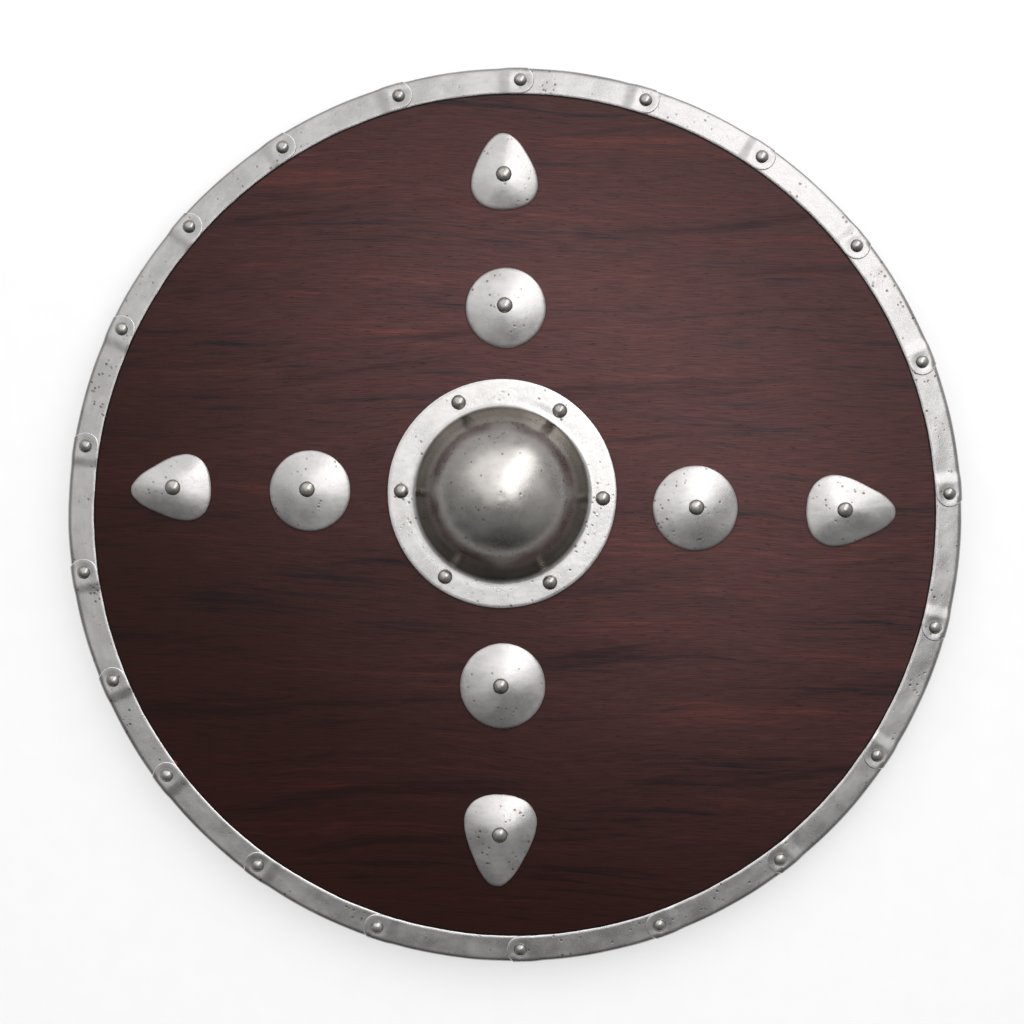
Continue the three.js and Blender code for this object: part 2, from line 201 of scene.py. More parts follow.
# ------------------------------------------------------------------ shader helpers
class Graph:
    """A material's node graph, written as nested calls. Each call returns an output socket."""

    def __init__(self, name):
        self.material = bpy.data.materials.new(name)
        self.material.use_nodes = True
        self.tree = self.material.node_tree
        self.tree.nodes.clear()

    def add(self, kind, inputs=None, output=0, **settings):
        node = self.tree.nodes.new(kind)
        for key, value in settings.items():
            setattr(node, key, value)
        for key, value in (inputs or {}).items():
            self.plug(node.inputs[key], value)
        return node.outputs[output]

    def plug(self, socket, value):
        if isinstance(value, bpy.types.NodeSocket):
            self.tree.links.new(value, socket)
        else:
            socket.default_value = value

    def object_place(self):
        return self.add("ShaderNodeTexCoord", output="Object")

    def stored_place(self):
        return self.add("ShaderNodeAttribute", output="Vector", attribute_name="place")

    def stretch(self, vector, scale, turn=0.0, shift=(0, 0, 0)):
        """Scales a place by the repeats per metre along each axis, after a turn about Z."""
        turned = self.add("ShaderNodeMapping", {
            "Vector": vector, "Location": shift, "Rotation": (0, 0, turn)})
        return self.add("ShaderNodeMapping", {"Vector": turned, "Scale": scale})

    def noise(self, vector, detail=3.0, rough=0.5, distortion=0.0):
        return self.add("ShaderNodeTexNoise", {
            "Vector": vector, "Scale": 1.0, "Detail": detail, "Roughness": rough,
            "Distortion": distortion}, output="Fac")

    def math(self, operation, a, b=0.0, clamp=False):
        return self.add("ShaderNodeMath", {0: a, 1: b}, operation=operation, use_clamp=clamp)

    def band(self, value, low, high, to_low=0.0, to_high=1.0):
        """Remaps a value between two limits, smoothly and clamped."""
        return self.add("ShaderNodeMapRange", {
            "Value": value, "From Min": low, "From Max": high,
            "To Min": to_low, "To Max": to_high}, interpolation_type="SMOOTHSTEP")

    def blend(self, share, a, b, mode="MIX"):
        """Mixes two colours. In MULTIPLY mode, b is laid over a."""
        node = self.tree.nodes.new("ShaderNodeMix")
        node.data_type = "RGBA"
        node.blend_type = mode
        for socket, value in zip((node.inputs[0], node.inputs[6], node.inputs[7]), (share, a, b)):
            if isinstance(value, tuple) and len(value) == 3:
                value = (*value, 1.0)
            self.plug(socket, value)
        return node.outputs[2]

    def ramp(self, value, stops):
        """A colour ramp from (position, colour) stops."""
        node = self.tree.nodes.new("ShaderNodeValToRGB")
        elements = node.color_ramp.elements
        while len(elements) < len(stops):
            elements.new(0.5)
        for element, (position, colour) in zip(elements, stops):
            element.position = position
            element.color = (*colour, 1.0)
        self.plug(node.inputs["Fac"], value)
        return node.outputs["Color"]

    def bump(self, height, depth, strength=1.0, normal=None):
        inputs = {"Height": height, "Distance": depth, "Strength": strength}
        if normal is not None:
            inputs["Normal"] = normal
        return self.add("ShaderNodeBump", inputs)

    def finish(self, colour, rough, normal=None, metallic=0.0, **plain):
        """Ends the graph in a Principled shader. Plain values are set on its own sockets."""
        shader = self.tree.nodes.new("ShaderNodeBsdfPrincipled")
        self.plug(shader.inputs["Base Color"], colour)
        self.plug(shader.inputs["Roughness"], rough)
        shader.inputs["Metallic"].default_value = metallic
        if normal is not None:
            self.plug(shader.inputs["Normal"], normal)
        for key, value in plain.items():
            shader.inputs[key.replace("_", " ")].default_value = value
        end = self.tree.nodes.new("ShaderNodeOutputMaterial")
        self.tree.links.new(shader.outputs[0], end.inputs[0])
        return self.material


# ------------------------------------------------------------------ wood
WOOD_DARK = (0.0110, 0.0045, 0.0040)
WOOD_BROWN = (0.0300, 0.0072, 0.0050)
WOOD_RED = (0.0520, 0.0098, 0.0062)
PAINTED_SHEEN_GAIN = (5.0, 9.2, 13.0)  # how much paler and greyer the painted sheen makes the stain on the lit side
CHIP_ORANGE = (0.30, 0.045, 0.012)
# painted sheen: the direction toward the key light, where the stain is drawn paler
PAINTED_SHEEN_SIDE = (0.6, 0.8, 0.0)
CHIP_PLACE = (*(node_middle("rim_rivet_14") + np.array([4.9, 8.0]) * MM), 0.0)


def wood_face(name, plain=False):
    """Stained plywood: grain along X, dark bands, red streaks, fine pores, a painted sheen toward the
    key light and a painted shadow line along the rim.
    """
    g = Graph(name)
    place = g.object_place()
    sway = g.noise(g.stretch(place, (3.5, 5.0, 1.0)), detail=2.0)
    swayed = g.add("ShaderNodeVectorMath", {
        0: place, 1: g.add("ShaderNodeCombineXYZ", {
            "Y": g.math("MULTIPLY", g.math("SUBTRACT", sway, 0.5), 0.035)})}, operation="ADD")
    broad = g.noise(g.stretch(swayed, (3.0, 30.0, 1.0), math.radians(2.5)), detail=4.0, rough=0.6)
    streaks = g.noise(g.stretch(swayed, (9.0, 260.0, 1.0), math.radians(2.0)), detail=5.0, rough=0.7)
    fibres = g.noise(g.stretch(swayed, (55.0, 1700.0, 1.0), math.radians(1.5)), detail=2.0)
    pores = g.noise(g.stretch(swayed, (130.0, 1500.0, 1.0), math.radians(1.5)), detail=1.0)
    tone = g.math("ADD", g.math("MULTIPLY", broad, 0.45), g.math("MULTIPLY", streaks, 0.55))
    colour = g.ramp(tone, [
        (0.37, WOOD_DARK), (0.455, WOOD_BROWN), (0.535, WOOD_BROWN), (0.65, WOOD_RED)])
    bands = g.noise(g.stretch(swayed, (2.4, 42.0, 1.0), math.radians(-4.0), (0.3, 0.7, 0.0)),
                    detail=5.0, rough=0.62)
    colour = g.blend(g.band(bands, 0.54, 0.68, 0.0, 0.75), colour, (0.42, 0.50, 0.58), "MULTIPLY")
    # Painted sheen: the stain is drawn paler and greyer toward the side the key light comes from, and
    # less so toward the rim.
    side = g.add("ShaderNodeVectorMath", {0: place, 1: PAINTED_SHEEN_SIDE}, output="Value",
                 operation="DOT_PRODUCT")
    from_middle = g.add("ShaderNodeVectorMath", {0: g.stretch(place, (1, 1, 0))},
                        output="Value", operation="LENGTH")
    painted_sheen = g.band(g.math("ADD", side, g.math("MULTIPLY", broad, 0.10)), -0.22, 0.27)
    painted_sheen = g.math("MULTIPLY", painted_sheen, g.band(from_middle, 0.13, 0.29, 1.0, 0.50))
    paler = g.blend(painted_sheen, (1.0, 1.0, 1.0), PAINTED_SHEEN_GAIN)
    colour = g.blend(1.0, colour, paler, "MULTIPLY")
    # A dark line on the wood along the rim's inner edge is painted shadow from the strip, and one spot
    # is chipped to bare wood.
    painted_rim_shadow = g.band(from_middle, RIM_INNER_RADIUS - 1.3 * MM, RIM_INNER_RADIUS - 0.5 * MM, 0.0, 0.9)
    colour = g.blend(painted_rim_shadow, colour, (0.0035, 0.0025, 0.0022))
    ragged = g.math("MULTIPLY", g.noise(g.stretch(place, (700.0,) * 3)), 3.0 * MM)
    to_chip = g.add("ShaderNodeVectorMath", {0: g.stretch(place, (1, 1, 0)), 1: CHIP_PLACE},
                    output="Value", operation="DISTANCE")
    chipped = g.band(g.math("ADD", to_chip, ragged), 4.1 * MM, 3.2 * MM)
    colour = g.blend(chipped, colour, CHIP_ORANGE)
    colour = g.blend(g.band(fibres, 0.35, 0.68, 0.0, 0.55), colour,
                     (0.35, 0.35, 0.36), "MULTIPLY")
    colour = g.blend(g.band(pores, 0.66, 0.74, 0.0, 0.8), colour, WOOD_DARK)
    height = g.math("ADD", g.math("MULTIPLY", fibres, -0.6), g.math("MULTIPLY", streaks, 0.5))
    normal = g.bump(height, 0.12 * MM, 0.5)
    rough = g.band(streaks, 0.3, 0.7, 0.34, 0.44)
    return g.finish(colour, rough, normal, Specular_IOR_Level=0.12)


def plain_wood(name, light, dark, rough=0.6):
    """Bare or plainly stained wood with its grain along X."""
    g = Graph(name)
    place = g.object_place()
    rings = g.noise(g.stretch(place, (6.0, 160.0, 160.0)), detail=4.0, rough=0.6, distortion=0.4)
    fibres = g.noise(g.stretch(place, (60.0, 1500.0, 1500.0)), detail=2.0)
    colour = g.blend(g.band(rings, 0.3, 0.7), dark, light)
    colour = g.blend(g.band(fibres, 0.4, 0.7, 0.0, 0.5), colour, dark)
    return g.finish(colour, g.band(fibres, 0.3, 0.7, rough - 0.07, rough + 0.08),
                    g.bump(fibres, 0.15 * MM, 0.5))


def ply_edge(name):
    """The board's cut edge: five plies, end and long grain by turns."""
    g = Graph(name)
    place = g.object_place()
    height = g.add("ShaderNodeSeparateXYZ", {0: place}, output="Z")
    layer = g.math("SINE", g.math("MULTIPLY", g.math("SUBTRACT", height, BOARD_BACK),
                                  FULL_TURN * 2.5 / (BOARD_FRONT - BOARD_BACK)))
    fibres = g.noise(g.stretch(place, (700.0, 700.0, 2500.0)), detail=2.0)
    colour = g.blend(g.band(layer, -0.25, 0.25), (0.050, 0.024, 0.014), (0.105, 0.056, 0.031))
    colour = g.blend(g.band(fibres, 0.4, 0.7, 0.0, 0.6), colour, (0.028, 0.013, 0.008))
    return g.finish(colour, 0.75, g.bump(fibres, 0.2 * MM, 0.6))


# ------------------------------------------------------------------ steel
NECK_PAINTED_REFLECTION = (0.50, 0.46, 0.42)  # painted reflection: the leaning neck is darkened brown as though it mirrored the dark board


def steel(name, tone, rough, stored=False, blotch=0.10, stain=0.30, pits=1.0, scale=1.0,
          flange_tone=None):
    """Worn mild steel: blotches, brown stains, pits, fine scratches and uneven polish, and, where a
    flange tone is given, a painted reflection darkening the boss's neck.
    """
    g = Graph(name)
    place = g.stored_place() if stored else g.object_place()
    cloud = g.noise(g.stretch(place, (42.0 * scale,) * 3), detail=4.0, rough=0.62)
    smear = g.noise(g.stretch(place, (110.0 * scale, 320.0 * scale, 110.0 * scale),
                              shift=(0.4, 0.2, 0.0)), detail=3.0)
    dust = g.noise(g.stretch(place, (900.0,) * 3), detail=3.0, rough=0.6)
    spots = g.add("ShaderNodeTexVoronoi", {
        "Vector": g.stretch(place, (240.0,) * 3), "Scale": 1.0, "Randomness": 1.0},
        output="Distance")
    chance = g.noise(g.stretch(place, (75.0,) * 3, shift=(0.9, 0.1, 0.3)), detail=3.0, rough=0.7)
    scratch = g.noise(g.stretch(place, (60.0, 2600.0, 60.0), math.radians(28)), detail=1.0)
    cross_scratch = g.noise(g.stretch(place, (50.0, 2300.0, 50.0), math.radians(-50)), detail=1.0)

    light = tuple(min(1.0, value * (1 + blotch)) for value in tone)
    dark = tuple(value * (1 - 1.6 * blotch) for value in tone)
    colour = g.blend(g.band(cloud, 0.32, 0.68), dark, light)
    colour = g.blend(g.band(smear, 0.42, 0.75, 0.0, 0.5), colour, dark)
    if flange_tone:
        # The flange is cleaner than the raised shell.
        height = g.add("ShaderNodeSeparateXYZ", {0: place}, output="Z")
        on_flange = g.band(height, RIM_TOP + 3.5 * MM, RIM_TOP + 1.0 * MM)
        # Painted reflection: the neck is darkened brown where it would mirror the dark board.
        painted_reflection_on_neck = g.math("MULTIPLY", g.band(height, RIM_TOP + 1.0 * MM, RIM_TOP + 3.0 * MM),
                         g.band(height, RIM_TOP + 21 * MM, RIM_TOP + 11 * MM))
        colour = g.blend(painted_reflection_on_neck, colour, g.blend(1.0, colour, NECK_PAINTED_REFLECTION, "MULTIPLY"))
        cleaner = tuple(a / b for a, b in zip(flange_tone, tone))
        colour = g.blend(on_flange, colour, g.blend(1.0, colour, cleaner, "MULTIPLY"))
    brown = tuple(value * share for value, share in zip(tone, (0.60, 0.50, 0.43)))
    colour = g.blend(g.band(chance, 0.58, 0.78, 0.0, stain), colour, brown)
    pit = g.math("MULTIPLY", g.band(spots, 0.30, 0.12), g.band(chance, 0.50, 0.62), clamp=True)
    colour = g.blend(g.math("MULTIPLY", pit, 0.75 * pits), colour, (0.10, 0.085, 0.075))
    lines = g.math("MAXIMUM", g.band(scratch, 0.72, 0.80), g.band(cross_scratch, 0.74, 0.82))
    colour = g.blend(g.math("MULTIPLY", lines, 0.35), colour, light)

    height = g.math("ADD", g.math("MULTIPLY", cloud, 1.0), g.math("MULTIPLY", dust, 0.10))
    height = g.math("SUBTRACT", height, g.math("MULTIPLY", pit, 0.5 * pits))
    height = g.math("SUBTRACT", height, g.math("MULTIPLY", lines, 0.06))
    normal = g.bump(height, 0.35 * MM, 0.5)
    shine = g.math("ADD", g.band(cloud, 0.3, 0.7, rough * 0.85, rough * 1.15),
                   g.band(dust, 0.3, 0.7, -0.03, 0.05))
    return g.finish(colour, shine, normal, metallic=1.0)


def bright_edge_with_highlight(name):
    """A freshly cut sheet edge, cleaner than the faces beside it, and drawn brighter still as a painted
    highlight.
    """
    g = Graph(name)
    dust = g.noise(g.stretch(g.object_place(), (500.0,) * 3), detail=3.0)
    colour = g.blend(g.band(dust, 0.35, 0.7), (0.78, 0.77, 0.76), (0.95, 0.95, 0.94))
    return g.finish(colour, g.band(dust, 0.3, 0.7, 0.30, 0.45),
                    g.bump(dust, 0.05 * MM, 0.5), metallic=1.0)


front_wood = wood_face("stained_front")
back_wood = wood_face("stained_back", plain=True)
edge_wood = ply_edge("ply_edge")
grip_wood = plain_wood("grip_ash", (0.150, 0.082, 0.042), (0.070, 0.036, 0.019))
rim_steel = steel("rim_steel", (0.430, 0.418, 0.415), 0.30, stored=True)
boss_steel = steel("boss_steel", (0.56, 0.535, 0.51), 0.30, flange_tone=(0.60, 0.585, 0.575))
plate_steel = steel("plate_steel", (0.53, 0.515, 0.51), 0.33)
rivet_steel = steel("rivet_steel", (0.45, 0.43, 0.41), 0.27, pits=0.5)
cut_edge_highlight = bright_edge_with_highlight("cut_edge_highlight")


# ------------------------------------------------------------------ board
def make_board():
    """A ring from the hand hole, which is centred on the boss, out to the round edge."""
    sides = 192
    c = BOARD_CHAMFER
    depth = BOARD_FRONT - BOARD_BACK
    shares = [0.02, 0.05, 0.1, 0.2, 0.35, 0.5, 0.65, 0.8, 0.9, 0.95]
    # (share of the way from hole to edge, offset along that way, height)
    front = [(0, 0, -c), (0, 0.3 * c, -0.3 * c), (0, c, 0)]
    front += [(share, 0, 0) for share in shares]
    front += [(1, -c, 0), (1, -0.3 * c, -0.3 * c), (1, 0, -c)]
    back = [(share, step, -depth - height) for share, step, height in reversed(front)]
    profile = front + back
    points = []
    for side in range(sides):
        angle = FULL_TURN * side / sides
        way = np.array([math.cos(angle), math.sin(angle)])
        hole = BOSS_CENTRE + HAND_HOLE_RADIUS * way
        edge = BOARD_RADIUS * way
        for share, step, height in profile:
            x, y = between(hole, edge, share) + step * way
            points.append((x, y, BOARD_FRONT + height))
    count = len(profile)
    faces, slots = [], []
    for side in range(sides):
        a, b = side * count, ((side + 1) % sides) * count
        for i in range(count):
            j = (i + 1) % count
            faces.append((a + i, b + i, b + j, a + j))
            on_front = 2 <= i < len(front) - 3
            on_back = len(front) + 2 <= i < count - 3
            slots.append(0 if on_front else 1 if on_back else 2)
    board = add_mesh("shield_board", points, faces, [front_wood, back_wood, edge_wood], slots)
    fit_piece(board, "board_wood", "board")


make_board()


# ------------------------------------------------------------------ rim strips
def strip_path(stand_off):
    """The strip's outer skin across its width: (length, radius, height, normal) samples."""
    outer = RIM_OUTER_RADIUS + 0.6 * stand_off
    top = RIM_TOP + stand_off
    bottom = RIM_BOTTOM - stand_off
    fold = RIM_FOLD
    samples = [(RIM_INNER_RADIUS + share * (outer - fold - RIM_INNER_RADIUS), top, 0.0)
               for share in np.linspace(0, 1, 10)]
    samples += [(outer - fold + fold * math.sin(turn), top - fold + fold * math.cos(turn), turn)
                for turn in np.radians([15, 30, 45, 60, 75, 90])]
    samples += [(outer, between(top - fold, bottom + fold, share), math.pi / 2)
                for share in (0.33, 0.67, 1.0)]
    samples += [(outer - fold + fold * math.sin(turn), bottom + fold + fold * math.cos(turn), turn)
                for turn in np.radians([112, 135, 158, 180])]
    samples += [(between(outer - fold, RIM_LIP_RADIUS, share), bottom, math.pi)
                for share in (0.5, 1.0)]
    radius, height, turn = np.array(samples).T
    steps = np.hypot(np.diff(radius), np.diff(height))
    return np.concatenate([[0], np.cumsum(steps)]), radius, height, turn


class Strip:
    """One folded strip of the rim, from its first rivet clockwise to its second."""

    edge_bevel = 0.5 * MM

    def __init__(self, number, start, span):
        self.number = number
        self.start = start
        self.length = span * RIM_RIVET_RADIUS
        self.flat = strip_path(0.0)
        self.raised = strip_path(LAP_RISE)

    def stand_off(self, along):
        """0 on the plain stretch, 1 where the strip lies on its neighbour."""
        before_rivet = self.length - along
        return ease((15.5 * MM - before_rivet) / (8.5 * MM))

    def skin_point(self, along, across, depth):
        """A point at a length along and across the strip, at a depth under its outer skin."""
        lifted = self.stand_off(along)
        length, radius, height, turn = (
            between(a, b, lifted) for a, b in zip(self.flat, self.raised))
        r, z, t = (np.interp(across, length, values) for values in (radius, height, turn))
        on_flange = 1 - ease((across - 12 * MM) / (5 * MM))
        seed = self.number
        near_edge = 1 - ease(across / (5 * MM))
        ripple = 0.30 * waver(seed, along / (21 * MM)) + 0.14 * waver(seed + 50, along / (6 * MM))
        r += ripple * MM * near_edge
        outward = 0.28 * waver(seed + 90, along / (26 * MM)) * MM
        r += outward * (1 - on_flange)
        dents = 0.16 * waver(seed + 20, along / (16 * MM), across / (9 * MM))
        dents += 0.05 * waver(seed + 30, along / (5 * MM), across / (5 * MM))
        z += dents * MM * on_flange
        for rivet_along in (0.0, self.length):
            from_rivet = math.hypot(along - rivet_along, across - (RIM_RIVET_RADIUS - RIM_INNER_RADIUS))
            if from_rivet < 9 * MM:
                z -= 0.28 * MM * (1 - ease((from_rivet - 3 * MM) / (5 * MM))) * on_flange
        r -= depth * math.sin(t)
        z -= depth * math.cos(t)
        angle = self.start - along / RIM_RIVET_RADIUS
        return r * math.cos(angle), r * math.sin(angle), z

    def rings(self):
        """Rows of (along, across, depth, slot) round the sheet, from the tucked end on."""
        full = self.flat[0][-1] + LAP_RISE
        middle = RIM_RIVET_RADIUS - RIM_INNER_RADIUS
        bevel = self.edge_bevel
        # Shares across the outer skin, close together where the strip is folded.
        shares = np.concatenate([np.linspace(0, 0.40, 9), np.linspace(0.44, 0.62, 9),
                                 np.linspace(0.70, 1.0, 7)])
        inner_shares = np.concatenate([np.linspace(1.0, 0.66, 5), np.linspace(0.60, 0.44, 6),
                                       np.linspace(0.34, 0, 4)])
        plain = np.linspace(-TUCKED_END, self.length - 15.5 * MM, 38)
        ramp = np.linspace(self.length - 14.5 * MM, self.length, 15)
        stations = [(along, 0.0, full, along, along) for along in (*plain, *ramp)]
        plain_count = len(stations)
        for turn in np.radians([4, 10, 16, 22, 28, 34, 41, 49, 57, 65, 73, 80, 86, 90]):
            reach = TAB_RADIUS * math.cos(turn)
            inset_reach = (TAB_RADIUS - bevel) * math.cos(turn)
            edge_along = self.length + TAB_RADIUS * math.sin(turn)
            skin_along = self.length + (TAB_RADIUS - bevel) * math.sin(turn)
            # The side over the board's edge is cut off on a slant beside the rivet.
            cut = ease((edge_along - self.length) / WALL_CUT)
            far = between(full, middle + reach, cut)
            skin_far = between(full - bevel, middle + inset_reach, cut)
            stations.append((skin_along, middle - reach, far, edge_along,
                             (middle - inset_reach, skin_far)))
        rings = []
        for index, (along, near, far, edge_along, inset) in enumerate(stations):
            if index >= plain_count:
                skin_near, skin_far = inset
            else:
                skin_near, skin_far = near + bevel, far - bevel
            row = [(along, between(skin_near, skin_far, share), 0.0) for share in shares]
            row += [(edge_along, far, 0.35 * RIM_SHEET), (edge_along, far, 0.75 * RIM_SHEET)]
            row += [(along, between(skin_near, skin_far, share), RIM_SHEET) for share in inner_shares]
            row += [(edge_along, near, 0.75 * RIM_SHEET), (edge_along, near, 0.35 * RIM_SHEET)]
            rings.append(row)
        edge_columns = {len(shares) - 1, len(shares), len(shares) + 1,
                        len(rings[0]) - 3, len(rings[0]) - 2, len(rings[0]) - 1}
        return rings, edge_columns

    def make(self):
        rings, edge_columns = self.rings()
        columns = len(rings[0])
        points = [self.skin_point(*place) for ring in rings for place in ring]
        places = [(self.number + along, across, depth)
                  for ring in rings for along, across, depth in ring]
        faces = grid_faces(len(rings), columns)
        slots = [1 if i % columns in edge_columns else 0 for i in range(len(faces))]
        faces.append(tuple(range(columns)))
        slots.append(0)
        return add_mesh(f"strip_{self.number:02d}", points, faces, [rim_steel, cut_edge_highlight],
                        slots, places)


def angle_of(centre):
    return math.atan2(centre[1], centre[0])


rim_rivets = [node_middle(f"rim_rivet_{number:02d}") for number in range(1, 22)]
for index, centre in enumerate(rim_rivets):
    start = angle_of(centre)
    following = angle_of(rim_rivets[(index + 1) % len(rim_rivets)])
    span = (start - following) % FULL_TURN
    strip = Strip(index + 1, start, span)
    fit_piece(strip.make(), "rim_steel", f"rim_strip_{strip.number:02d}")


# ------------------------------------------------------------------ rivets
def rivet_profile(head_radius, head_height, seat, tail, clenched):
    """A domed head, its shank and its clenched end, as (radius, height) from the top down."""
    flat = 0.10
    turns = np.radians([6, 14, 24, 34, 44, 54, 63, 71, 78, 84, 90])
    profile = [(0.0, seat + head_height)]
    for turn in turns:
        dome = head_height * (flat + (1 - flat) * math.cos(turn))
        profile.append((head_radius * math.sin(turn), seat + dome))
    profile += [(head_radius * 0.985, seat + 0.04 * head_height), (head_radius * 0.93, seat)]
    shank = 2.3 * MM
    profile += [(shank, seat), (shank, tail + clenched)]
    spread = 3.1 * MM
    profile += [(spread, tail + clenched), (spread, tail + 0.5 * clenched),
                (spread * 0.8, tail + 0.12 * clenched), (spread * 0.4, tail), (0.0, tail)]
    return profile


def make_rivet(name, centre, head_radius, head_height, seat, tail, clenched, seed):
    """A rivet with a hand-hammered, slightly uneven head."""
    sides = 32
    profile = rivet_profile(head_radius, head_height, seat, tail, clenched)
    points = lathe_points(profile, centre, sides)
    for point in points:
        if point[2] > seat:
            away = point[:2] - centre
            push = 1 + 0.035 * waver(seed, *(point / (3.1 * MM)))
            point[:2] = centre + away * push
            point[2] = seat + (point[2] - seat) * (1 + 0.05 * waver(seed + 7, *(point / (4 * MM))))
    return add_mesh(name, points, grid_faces(len(profile), sides), [rivet_steel])


def make_rove(name, centre, turn, top, thickness):
    """The square washer under a clenched end, a little rounded."""
    half = 4.0 * MM
    sides = 32
    points = []
    for share, level in ((0, 0), (0.94, 0), (1, 0.25), (1, 0.75), (0.94, 1), (0, 1)):
        for side in range(sides):
            angle = FULL_TURN * side / sides
            square = (abs(math.cos(angle)) ** 8 + abs(math.sin(angle)) ** 8) ** (-1 / 8)
            radius = half * share * square
            points.append((centre[0] + radius * math.cos(angle + turn),
                           centre[1] + radius * math.sin(angle + turn),
                           top - thickness * (1 - level)))
    return add_mesh(name, points, grid_faces(6, sides), [rivet_steel])


for index, centre in enumerate(rim_rivets):
    number = index + 1
    seat = RIM_TOP + LAP_RISE - 0.25 * MM
    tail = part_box(f"rim_rivet_{number:02d}")[0].z
    rivet = make_rivet(f"strip_stud_{number:02d}", centre, 4.45 * MM, 3.2 * MM,
                       seat, tail, 0.6 * MM, number)
    fit_piece(rivet, "rivet_steel", f"rim_rivet_{number:02d}")


def has_rove(node):
    """Rivets on the grip's line go through the grip, and end flush with its underside."""
    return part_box(node)[0].z > 5 * MM


def add_rove(name, node, centre, owner):
    if has_rove(node):
        top = BOARD_BACK - 0.2 * MM
        turn = angle_of(centre - BOSS_CENTRE)
        rove = make_rove(name, centre, turn, top, 1.0 * MM)
        rove.parent = owner


for number in range(1, 7):
    node = f"boss_rivet_{number}"
    centre = node_middle(node)
    rivet = make_rivet(f"boss_stud_{number}", centre, 5.1 * MM, 3.7 * MM,
                       ON_BOARD + BOSS_SHEET - 0.1 * MM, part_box(node)[0].z, 0.7 * MM, 40 + number)
    fit_piece(rivet, "rivet_steel", node)
    add_rove(f"boss_rove_{number}", node, centre, rivet)


# ------------------------------------------------------------------ boss
def boss_profile():
    """The shell from the crown down its outer skin, round the flange and back up inside."""
    dome_centre = ON_BOARD + BOSS_HEIGHT - BOSS_DOME_RADIUS
    lean = math.asin(BOSS_SHOULDER_RADIUS / BOSS_DOME_RADIUS)
    top = ON_BOARD + BOSS_SHEET
    # The neck leaves the dome at its tangent and meets the flange in a fillet.
    fillet = 5.0 * MM
    slope = np.array([math.cos(lean), -math.sin(lean)])
    shoulder = np.array([BOSS_SHOULDER_RADIUS, dome_centre + BOSS_DOME_RADIUS * math.cos(lean)])
    to_flange = (shoulder[1] - top) / math.sin(lean)
    corner = shoulder + slope * to_flange
    setback = fillet * math.tan(lean / 2)
    foot = corner - slope * setback
    fillet_centre = np.array([corner[0] + setback, top + fillet])
    outer = [(BOSS_DOME_RADIUS * math.sin(a), dome_centre + BOSS_DOME_RADIUS * math.cos(a), a)
             for a in np.linspace(0, lean, 30)]
    outer += [(*between(shoulder, foot, share), lean) for share in (0.2, 0.4, 0.6, 0.8, 1.0)]
    outer += [(fillet_centre[0] - fillet * math.sin(a), fillet_centre[1] - fillet * math.cos(a), a)
              for a in np.linspace(lean, 0, 9)[1:]]
    start = outer[-1][0]
    outer += [(between(start, BOSS_FLANGE_RADIUS - 0.5 * MM, share), top, 0.0)
              for share in np.linspace(0, 1, 9)[1:]]
    edge = [(BOSS_FLANGE_RADIUS - 0.13 * MM, top - 0.15 * MM, 0.8),
            (BOSS_FLANGE_RADIUS, top - 0.5 * MM, 1.5),
            (BOSS_FLANGE_RADIUS, ON_BOARD + 0.3 * MM, 1.5)]
    inner = [(radius - BOSS_SHEET * math.sin(a), height - BOSS_SHEET * math.cos(a), a)
             for radius, height, a in reversed(outer)]
    inner = [point for point in inner if point[0] >= 0]
    return outer + edge + inner, len(outer), len(edge)


def make_boss():
    profile, outer_count, edge_count = boss_profile()
    sides = 192
    points = lathe_points([(radius, height) for radius, height, _ in profile], BOSS_CENTRE, sides)
    top = ON_BOARD + BOSS_HEIGHT
    for point in points:
        away = point[:2] - BOSS_CENTRE
        distance = math.hypot(*away)
        hammer = 0.22 * waver(61, *(point / (24 * MM))) + 0.07 * waver(62, *(point / (9 * MM)))
        if point[2] > ON_BOARD + 6 * MM:
            point[2] += hammer * MM
            # A small dent beside the crown.
            dent = np.linalg.norm(away - np.array([-0.2, -1.8]) * MM)
            point[2] -= 0.22 * MM * math.exp(-(dent / (2.2 * MM)) ** 2)
            if abs(top - point[2]) < 1.2 * MM:
                point[2] = min(point[2], top)
        elif distance > 66 * MM:
            angle = math.atan2(away[1], away[0])
            point[2] += 0.12 * MM * (waver(63, *(point / (19 * MM))) + 0.4)
            point[:2] = BOSS_CENTRE + away * (1 + 0.0025 * waver(64, 3 * math.cos(angle),
                                                              3 * math.sin(angle)))
    faces = grid_faces(len(profile), sides)
    slots = []
    for row in range(len(profile) - 1):
        on_edge = outer_count - 1 <= row < outer_count + edge_count - 1
        slots += [1 if on_edge else 0] * sides
    boss = add_mesh("boss_shell", points, faces, [boss_steel, cut_edge_highlight], slots)
    fit_piece(boss, "boss_steel", "boss")


make_boss()


